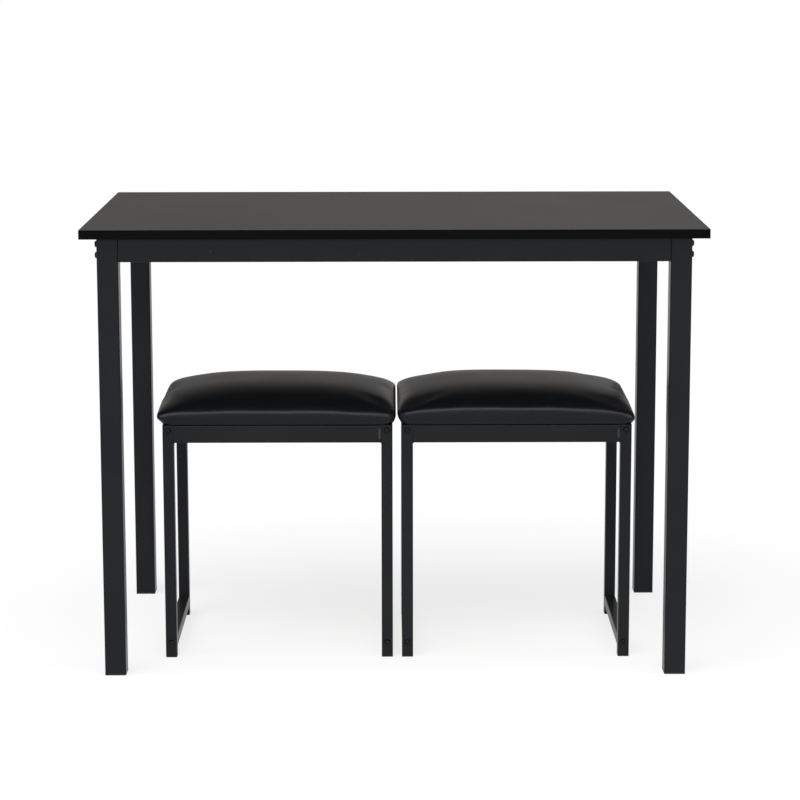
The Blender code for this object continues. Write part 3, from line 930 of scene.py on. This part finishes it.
def make_bolts(body, bolts):
    nodes, spots = zip(*bolts)
    size = extents(nodes[0]).size
    pattern = button_head_bolt(max(size.x, size.y) - BOLT_HEAD_HEIGHT - TOUCH_GAP)
    body.fasten(f"{body.name}_bolts", pattern, spots, body.seeds.bolts, "bolt", nodes)


def make_screws(body, name, places, rise, reach):
    """Screws that reach up from this much over the places given."""
    spots = [Spot(place + Vector((0, 0, rise)), DOWN, (1, 0, 0)) for place in places]
    body.fasten(name, pan_head_screw(reach), spots, body.seeds.screws, "zinc")


def make_weld_with_painted_highlight(stool, made):
    """A weld on the outer face at the frame's right-hand joint, ground almost flat, in a pale coat that is a
    painted highlight.
    """
    mesh = bmesh.new()
    bmesh.ops.create_uvsphere(mesh, u_segments=GROUND_WELD_SIDES, v_segments=GROUND_WELD_RINGS, radius=1)
    size = (GROUND_WELD_WIDTH / 2, GROUND_WELD_PROUD, GROUND_WELD_HEIGHT / 2)
    bmesh.ops.scale(mesh, vec=size, verts=mesh.verts)
    x = made.between - GROUND_WELD_WIDTH / 2
    moved(mesh, (x, made.rail_y - made.rail.depth / 2, made.rail_z))
    # Its pale coat is a painted highlight on the joint.
    stool.add(f"{stool.name}_ground_weld", moved(mesh, rotation=made.place), "highlight_paint", sharp_degrees=0)


def make_table(table):
    make_top(table)
    stock, holes = TABLE_STOCK, TOP_SCREW_HOLES
    size = extents("table_front_rail").size
    rail = Tube(size.z, size.y, stock.wall, stock.corner)
    ends = []
    for side, sign in SIDES:
        ends.append((f"table_{side}_end_frame", (sign, 0, 0), [f"{face}_{side}" for face, _ in FACES]))
    frames, bolts = make_frames(table, ends, rail, stock, holes)
    places = [made.place @ Vector((0, made.rail_y, made.rail_z)) for made in frames]
    for face, _ in FACES:
        places += make_rail(table, f"table_{face}_rail", stock, holes)
    make_screws(table, "table_top_screws", places, rail.height / 2 - rail.wall, TOP_SCREW_REACH)
    make_bolts(table, bolts)
    table.weld(frames, stock.bead)


def make_stool(stool, outer_side):
    name, stock = stool.name, STOOL_STOCK
    rail = Tube(STOOL_RAIL_HEIGHT, STOOL_RAIL_DEPTH, stock.wall, stock.corner)
    ends = []
    for face, sign in FACES:
        ends.append((f"{name}_{face}_frame", (0, sign, 0), [f"{face}_{side}" for side, _ in SIDES]))
    frames, bolts = make_frames(stool, ends, rail, stock, VENT_HOLE)
    places = []
    for side, _ in SIDES:
        make_rail(stool, f"{name}_{side}_lower_rail", stock, NO_HOLES)
        places += make_rail(stool, f"{name}_{side}_upper_rail", stock, SEAT_SCREW_HOLES)
    under = -extents(f"{name}_left_upper_rail").size.z / 2
    make_screws(stool, f"{name}_seat_screws", places, under, SEAT_SCREW_REACH)
    make_bolts(stool, bolts)
    stool.weld(frames, stock.bead)
    make_weld_with_painted_highlight(stool, frames[0])
    make_seat_board(stool)
    make_flap(stool)
    make_cushion(stool, outer_side)


def make_seat_board(stool):
    node = f"{stool.name}_seat_board"
    low, high, middle, size = extents(node)
    rings = drawn_in(size.x, size.y, CUSHION_CORNER - HEM_WALL, arrised(low.z, high.z, SEAT_BOARD_ARRIS))
    board = moved(loft(rings), (middle.x, middle.y, 0))
    stool.add(f"{node}_ply", board, "ply", [node], sharp_degrees=30)


def wave(place, seed, *lengths):
    """A smooth uneven wave along a line, between -1 and 1, from sines of these lengths with unlike starts."""
    seed_turn, sine_turn = 1.7, 2.3
    total = 0
    for i, length in enumerate(lengths):
        total += math.sin(2 * math.pi * place / length + seed_turn * seed + sine_turn * i)
    return total / len(lengths)


def make_flap(stool):
    """The cover's edge, where it shows inside the frame under the board, and its staples."""
    name, seeds = stool.name, stool.seeds
    frame_low, frame_high = extents(f"{name}_front_frame").low, extents(f"{name}_rear_frame").high
    middle = (frame_low + frame_high) / 2
    leg = extents(f"{name}_left_upper_rail").size.x
    rail = STOOL_STOCK.recess + STOOL_RAIL_DEPTH
    width = frame_high.x - frame_low.x - 2 * (leg + FLAP_CLEARANCE)
    depth = frame_high.y - frame_low.y - 2 * (rail + FLAP_CLEARANCE)
    level = extents(f"{name}_seat_board").low.z - FLAP_DROP
    outer = rounded_rectangle(width, depth, FLAP_CORNER, steps=1, longest=FLAP_STEP)
    place = 0
    under, inner, inner_under = [], [], []
    for i, point in enumerate(outer):
        place += (point - outer[i - 1]).length if i else 0
        reach = FLAP_WIDTH + FLAP_WAVE * wave(place, seeds.flap, *FLAP_WAVE_LENGTHS)
        pucker = FLAP_PUCKER * (1 + wave(place, seeds.pucker, STAPLE_PITCH, FLAP_PUCKER_LENGTH)) / 2
        x = math.copysign(min(abs(point.x), width / 2 - reach), point.x)
        y = math.copysign(min(abs(point.y), depth / 2 - reach), point.y)
        under.append(Vector((point.x, point.y, -FLAP_THICKNESS)))
        inner.append(Vector((x, y, 0)))
        inner_under.append(Vector((x, y, -FLAP_THICKNESS - pucker)))
    mesh = facing_out(loft([under, at_height(outer, 0), inner, inner_under], closed=True))
    flap = moved(mesh, (middle.x, middle.y, level))
    stool.add(f"{name}_cover_flap", flap, "leather", sharp_degrees=50)

    inset = 2 * STAPLE_INSET
    row = rounded_rectangle(width - inset, depth - inset, FLAP_CORNER, steps=1, longest=STAPLE_PITCH)
    spots = []
    for i, point in enumerate(row):
        along = row[(i + 1) % len(row)] - row[i - 1]
        place = (middle.x + point.x, middle.y + point.y, level - FLAP_THICKNESS)
        spots.append(Spot(place, DOWN, (along.x, along.y, 0)))
    stool.fasten(
        f"{name}_staples", wire_staple(), spots, seeds.staples, "zinc",
        most_turn=STAPLE_MOST_TURN, sharp_degrees=50,
    )


class CushionShape:
    """The cover's form over a square grid: a crown whose lower edge is arched between its corners, and a band
    below it that is drawn in to the frame."""

    def __init__(self, node, stuffing):
        low, _, self.middle, size = extents(node)
        self.bottom = low.z
        self.stuffing = stuffing
        self.half = Vector((size.x / 2 + RIDGE_ALLOWANCE, size.y / 2 + RIDGE_ALLOWANCE))

    def edge_point(self, a, b):
        """The point of the widest line that belongs to a point on the edge of the square grid."""
        half, corner = self.half, CUSHION_CORNER
        flip = abs(b) < abs(a)
        along, across = (b, a) if flip else (a, b)
        half_along, half_across = (half.y, half.x) if flip else (half.x, half.y)
        straight = half_along - corner
        reach = abs(along) * (straight + corner * math.pi / 4)
        if reach <= straight:
            x, y = reach, half_across
        else:
            angle = (reach - straight) / corner
            x, y = straight + corner * math.sin(angle), half_across - corner * (1 - math.cos(angle))
        x, y = math.copysign(x, along), math.copysign(y, across)
        return Vector((y, x)) if flip else Vector((x, y))

    def height(self, point):
        """The height of the crown over a point of the plan, or of the widest line for a point on it."""
        u, v = min(abs(point.x) / self.half.x, 1), min(abs(point.y) / self.half.y, 1)
        stuffing = self.stuffing
        arch = stuffing.arch * (1 - u ** ARCH_POWER) + SIDE_ARCH * (1 - v ** ARCH_POWER)
        if point.y > 0:
            droop = (CORNER_DROOP + REAR_DROOP) * (1 - (u * v) ** REAR_DROOP_POWER) - REAR_DROOP
        else:
            droop = CORNER_DROOP * (1 - (u * v) ** DROOP_POWER)
        fall = ((1 - u ** CROWN_PLAN_POWER) * (1 - v ** CROWN_PLAN_POWER)) ** CROWN_EDGE_POWER
        lean = stuffing.lean * point.x / self.half.x
        return self.bottom + stuffing.corner + droop + arch + lean + stuffing.crown * fall

    def inset(self, point, inset, z, outwards=False):
        """A point of the plan drawn in from the widest line, or let out to it again, at a height."""
        scale_x = (self.half.x - inset) / self.half.x
        scale_y = (self.half.y - inset) / self.half.y
        if outwards:
            scale_x, scale_y = 1 / scale_x, 1 / scale_y
        return Vector((point.x * scale_x, point.y * scale_y, z))

    def rings_below(self, edge):
        """The rings under the crown's own edge: the roll over the widest line, the band, and the hem."""
        hem = self.bottom + HEM_ROUND
        rings = []
        for step in range(1, ROLL_STEPS + 1):
            share = 1 - step / ROLL_STEPS
            rings.append([self.inset(p, ROLL_REACH * share ** 2, p.z + ROLL_RISE * share) for p in edge])
        for step in range(1, BAND_STEPS + 1):
            share = step / BAND_STEPS
            inset = HEM_DRAWN_IN * share ** HEM_POWER
            rings.append([self.inset(p, inset, p.z + (hem - p.z) * share) for p in edge])
        for inset in (HEM_DRAWN_IN + HEM_ROUND, HEM_DRAWN_IN + HEM_ROUND + HEM_WALL - TOUCH_GAP):
            rings.append([self.inset(p, inset, self.bottom) for p in edge])
        return rings

    def open_mesh(self):
        """A bmesh of quads, open at its bottom rim."""
        cells_x = 2 * round(self.half.x / COVER_STEP)
        cells_y = 2 * round(self.half.y / COVER_STEP)
        mesh = bmesh.new()
        grid = {}
        for i in range(cells_x + 1):
            for j in range(cells_y + 1):
                a, b = 2 * i / cells_x - 1, 2 * j / cells_y - 1
                size = max(abs(a), abs(b))
                point = size * self.edge_point(a / size, b / size) if size else Vector((0, 0))
                grid[i, j] = mesh.verts.new(self.inset(point, ROLL_REACH, self.height(point) + ROLL_RISE))
        for i in range(cells_x):
            for j in range(cells_y):
                mesh.faces.new((grid[i, j], grid[i + 1, j], grid[i + 1, j + 1], grid[i, j + 1]))
        loop = [(i, 0) for i in range(cells_x)] + [(cells_x, j) for j in range(cells_y)]
        loop += [(i, cells_y) for i in range(cells_x, 0, -1)] + [(0, j) for j in range(cells_y, 0, -1)]
        upper = [grid[key] for key in loop]
        edge = []
        for vertex in upper:
            point = self.inset(vertex.co, ROLL_REACH, 0, outwards=True)
            edge.append(Vector((point.x, point.y, vertex.co.z - ROLL_RISE)))
        near = {grid[i, j] for i, j in grid if min(i, j, cells_x - i, cells_y - j) <= RIDGE_CELLS}
        for count, ring in enumerate(self.rings_below(edge)):
            lower = [mesh.verts.new(point) for point in ring]
            for i in range(len(lower)):
                mesh.faces.new((lower[i - 1], lower[i], upper[i], upper[i - 1]))
            if count < RIDGE_CELLS + ROLL_STEPS:
                near.update(lower)
            upper = lower
        axes = {f"use_axis_{axis}": True for axis in "xyz"}
        for _ in range(RIDGE_PASSES):
            bmesh.ops.smooth_vert(mesh, verts=list(near), factor=0.5, **axes)
        for vertex in mesh.verts:
            share = min(max((vertex.co.z - self.bottom - 2 * HEM_ROUND) / HEM_TO_FULL, 0), 1)
            vertex.co.x += share * (self.stuffing.shift + self.stuffing.fullness * vertex.co.x / self.half.x)
        return moved(mesh, (self.middle.x, self.middle.y, 0))


def points_of(mesh):
    """A mesh's points as rows of an array."""
    flat = np.empty(len(mesh.vertices) * 3)
    mesh.vertices.foreach_get("co", flat)
    return flat.reshape(-1, 3)


def put_points(mesh, points):
    mesh.vertices.foreach_set("co", points.ravel())
    mesh.update()


def evened(moves, mesh, held):
    """Moves of a mesh's points, each averaged with its neighbours' a few times, so that no wrinkle stays."""
    ends = np.empty(len(mesh.edges) * 2, int)
    mesh.edges.foreach_get("vertices", ends)
    first, second = ends.reshape(-1, 2).T
    count = np.bincount(ends, minlength=len(moves))[:, None]
    for _ in range(COVER_EVENING):
        total = np.zeros_like(moves)
        np.add.at(total, first, moves[second])
        np.add.at(total, second, moves[first])
        moves = (moves + total / count) / 2
        moves[held] = 0
    return moves


def filled_out(cover, bottom):
    """Lets the cover settle as cloth, held at its hem and blown up from within. Each point stays near its
    place."""
    before = points_of(cover.data)
    hem = [i for i, point in enumerate(before) if point[2] < bottom + 2 * HEM_ROUND]
    held = cover.vertex_groups.new(name="held")
    held.add(hem, 1.0, "REPLACE")
    cloth = cover.modifiers.new("cloth", "CLOTH")
    for name, value in COVER_CLOTH.items():
        setattr(cloth.settings, name, value)
    cloth.settings.effector_weights.gravity = 0
    cloth.settings.vertex_group_mass = held.name
    cloth.collision_settings.use_collision = False
    cloth.point_cache.frame_end = COVER_FRAMES
    scene = bpy.context.scene
    for frame_number in range(1, COVER_FRAMES + 1):
        scene.frame_set(frame_number)
    graph = bpy.context.evaluated_depsgraph_get()
    moves = points_of(cover.evaluated_get(graph).data) - before
    cover.modifiers.remove(cloth)
    cover.vertex_groups.remove(held)
    scene.frame_set(1)
    length = np.linalg.norm(moves, axis=1, keepdims=True)
    moves *= np.minimum(1, MOST_PUFF / np.maximum(length, 1e-9))
    moves = evened(moves, cover.data, hem)
    moves[:, :2] = np.clip(moves[:, :2], -MOST_SIDE_PUFF, MOST_SIDE_PUFF)
    put_points(cover.data, before + moves)


def fold_corner(points, shape, sign_x, sign_y, tip_reach):
    """Pulls one corner of a cover's points out to a small tip, tucks it in below, and creases it above."""
    stuffing = shape.stuffing
    radius = CUSHION_CORNER * (1 - math.sqrt(0.5))
    tip_height = stuffing.corner + sign_x * stuffing.lean
    tip = np.array([
        shape.middle.x + sign_x * (shape.half.x - radius + stuffing.fullness) + stuffing.shift,
        shape.middle.y + sign_y * (shape.half.y - radius),
        shape.bottom + tip_height,
    ])
    out = np.array([sign_x, sign_y, 0]) * math.sqrt(0.5)
    across = np.array([-sign_y, sign_x, 0]) * math.sqrt(0.5)
    offset = points - tip
    far = np.linalg.norm(offset, axis=1)
    side = offset @ across
    rise = offset[:, 2]
    near = np.exp(-(far / TIP_SIZE) ** 2)
    depth = rise / tip_height
    below = np.clip(-TUCK_ONSET * depth, 0, 1) * np.clip(TUCK_END * (depth + 1), 0, 1)
    tuck = np.exp(-(side / TUCK_WIDTH) ** 2) * below * (far < TUCK_REACH_SHARE * tip_height)
    crease = np.exp(-((rise - CREASE_SLANT * np.abs(side) - CREASE_WIDTH) / CREASE_WIDTH) ** 2)
    crease *= np.exp(-(far / CREASE_LENGTH) ** 2) * (np.abs(side) > CREASE_WIDTH)
    points += np.outer(near * tip_reach - tuck * TUCK_DEPTH - crease * CREASE_DEPTH, out)


def close_pocket(cover, pocket_top):
    """Turns the rim up into the pocket that holds the seat board, and closes it there."""
    mesh = bmesh.new()
    mesh.from_mesh(cover.data)
    rim = [edge for edge in mesh.edges if edge.is_boundary]
    wall = bmesh.ops.extrude_edge_only(mesh, edges=rim)["geom"]
    for vertex in wall:
        if isinstance(vertex, bmesh.types.BMVert):
            vertex.co.z = pocket_top
    bmesh.ops.contextual_create(mesh, geom=[edge for edge in wall if isinstance(edge, bmesh.types.BMEdge)])
    facing_out(mesh).to_mesh(cover.data)
    mesh.free()


def make_cushion(stool, outer_side):
    node = f"{stool.name}_cushion"
    shape = CushionShape(node, STUFFING[stool.name])
    cover = from_bmesh(f"{node}_cover", shape.open_mesh())
    filled_out(cover, shape.bottom)
    fine = cover.modifiers.new("fine", "SUBSURF")
    fine.levels = 1
    fine.render_levels = 1
    cover = plain(cover, cover.name)
    points = points_of(cover.data)
    for _, sign_x in SIDES:
        for _, sign_y in FACES:
            fold_corner(points, shape, sign_x, sign_y, TIP_REACH if sign_x == outer_side else TIP_INNER_REACH)
    put_points(cover.data, points)
    close_pocket(cover, extents(f"{stool.name}_seat_board").high.z + TOUCH_GAP)
    cover = stool.finish(cover, "leather", [node], sharp_degrees=60)


def make_floor():
    """A plain pale floor, white to the camera but for the shadow that it keeps, and a little dimmer in gloss.
    The light that it throws back comes more from the paper near the object than from the ground past it."""
    shadow_share = 0.22
    half = 80
    paper_grey, ground_grey = 0.9, 0.25
    corners = [(-half, -half, 0), (half, -half, 0), (half, half, 0), (-half, half, 0)]
    floor = from_points("floor", corners, faces=[(0, 1, 2, 3)])
    material = bpy.data.materials.new("floor")
    material.use_nodes = True
    material.node_tree.nodes.clear()
    nodes = Nodes(material.node_tree)
    x, y, _ = nodes.axes(nodes.add("ShaderNodeTexCoord", output="Object"))
    path = nodes.add("ShaderNodeLightPath")
    gloss = path.beside("Is Glossy Ray")
    seen = nodes.math("MAXIMUM", path, nodes.math("MAXIMUM", gloss, path.beside("Is Transmission Ray")))
    distance_squared = x * x + y * y
    past = (1 - seen) * distance_squared.smooth(1.2, 8.0)
    paper, ground = [nodes.grey("ShaderNodeBsdfDiffuse", level) for level in (paper_grey, ground_grey)]
    white, black = [nodes.grey("ShaderNodeEmission", level) for level in (1, 0)]
    ahead = (0 - y).smooth(1.0, 7.0)
    dimmed = gloss * (0.12 + ahead * (0.38 + 0.30 * x.smooth(-1.2, 1.2)))
    even = nodes.math("MAXIMUM", distance_squared.smooth(2.0, 16.0), 1 - shadow_share)
    lit = nodes.mix_shaders(past, paper, ground)
    shown = nodes.mix_shaders(dimmed, white, black)
    look = nodes.mix_shaders(seen * even, lit, shown)
    nodes.add("ShaderNodeOutputMaterial", sockets={"Surface": look})
    floor.data.materials.append(material)


def make_studio():
    """Pale walls round a dim ceiling, and soft lamps that gloss doesn't show. In gloss there is also a window
    in front, and a pale panel on the left of the wall behind."""
    world = bpy.data.worlds.new("studio")
    bpy.context.scene.world = world
    world.use_nodes = True
    world.node_tree.nodes.clear()
    nodes = Nodes(world.node_tree)
    x, y, z = nodes.axes(nodes.add("ShaderNodeTexCoord", output="Generated"))
    path = nodes.add("ShaderNodeLightPath")
    ceiling, left_wall, right_wall, window_light, panel_light = 0.12, 0.24, 0.59, 6.2, 1.3
    walls = z.near(0, 0.14, 0.42) * (left_wall + (right_wall - left_wall) * x.smooth(-0.3, 0.1))
    window = (0 - y).smooth(0.1, 0.9) * x.near(0, 0.24, 0.46) * z.near(0.26, 0.12, 0.28)
    panel = (0 - x).smooth(0.16, 0.34) * x.near(0, 0.40, 0.58) * z.near(0.38, 0.06, 0.26) * y.smooth(0, 0.4)
    gloss = path.beside("Is Glossy Ray")
    level = ceiling + walls + gloss * (window_light * window + panel_light * panel)
    tint = nodes.mix(y.smooth(0, 0.6), (0.93, 0.98, 1.0), (1.0, 0.95, 0.90))
    studio = nodes.add("ShaderNodeBackground", sockets={"Color": tint, "Strength": level})
    look = nodes.mix_shaders(path, studio, nodes.grey("ShaderNodeBackground", 1))
    nodes.add("ShaderNodeOutputWorld", sockets={"Surface": look})

    for name, strength, soft_degrees, tilt, turn in (("key", 2.4, 50, 28, -35), ("fill", 1.4, 70, 28, 40)):
        lamp = bpy.data.lights.new(name, "SUN")
        lamp.energy = strength
        lamp.angle = math.radians(soft_degrees)
        obj = new_object(name, lamp)
        obj.rotation_euler = (math.radians(tilt), 0, math.radians(turn))
        obj.visible_glossy = False


def make_camera():
    """The camera stands in front of the table, a little above its top, and looks slightly down."""
    place = Vector((-0.00669, -4.26946, 1.22095))
    yaw, pitch, roll = 0.00385, 0.16088, -0.0014
    picture = 800
    focal_pixels = 2478.41
    data = bpy.data.cameras.new("camera")
    data.sensor_width = 36
    data.lens = focal_pixels / picture * data.sensor_width
    data.shift_y = -0.08
    data.clip_end = 300
    camera = new_object("camera", data)
    across = Vector((math.cos(yaw), -math.sin(yaw), 0))
    ahead = Vector((math.sin(yaw), math.cos(yaw), 0))
    up = Vector(UP)
    forward = ahead * math.cos(pitch) - up * math.sin(pitch)
    above = up * math.cos(pitch) + ahead * math.sin(pitch)
    right = across * math.cos(roll) + above * math.sin(roll)
    upward = above * math.cos(roll) - across * math.sin(roll)
    camera.matrix_world = Matrix.Translation(place) @ Matrix((right, upward, -forward)).transposed().to_4x4()
    bpy.context.scene.camera = camera


def make_finishes():
    """The coat of each finish: its material, and the name of its slot where it has one."""
    board = extents("left_stool_seat_board")
    steel = steel_coating("steel_coating", (0.0070, 0.0075, 0.0092), (0.0088, 0.0092, 0.0107))
    # The same coat in a far paler grey: a painted highlight for the weld at each stool's right-hand front
    # joint.
    highlight_paint = steel_coating("rubbed_coating", (0.033, 0.035, 0.038), (0.049, 0.051, 0.054))
    return {
        "steel": Coat(steel, "steel_coating"),
        "highlight_paint": Coat(highlight_paint, "steel_coating"),
        "laminate": Coat(table_laminate(), "table_top_laminate"),
        "edge": Coat(edge_plastic(), "table_top_laminate"),
        "bolt": Coat(black_oxide(), "bolt_black"),
        "zinc": Coat(zinc(), None),
        "cap": Coat(cap_plastic(), "foot_plastic"),
        "ply": Coat(birch_plywood(board.low.z, board.size.z), "seat_plywood"),
        "leather": Coat(faux_leather(), "cushion_cover"),
    }


def main():
    bpy.context.scene.view_settings.view_transform = "Standard"
    finishes = make_finishes()
    trees = {"fasteners": fasteners_tree(), "weld": weld_tree()}
    make_table(Body("table", finishes, trees))
    for side, sign in SIDES:
        make_stool(Body(f"{side}_stool", finishes, trees), sign)
    make_floor()
    make_studio()
    make_camera()


main()
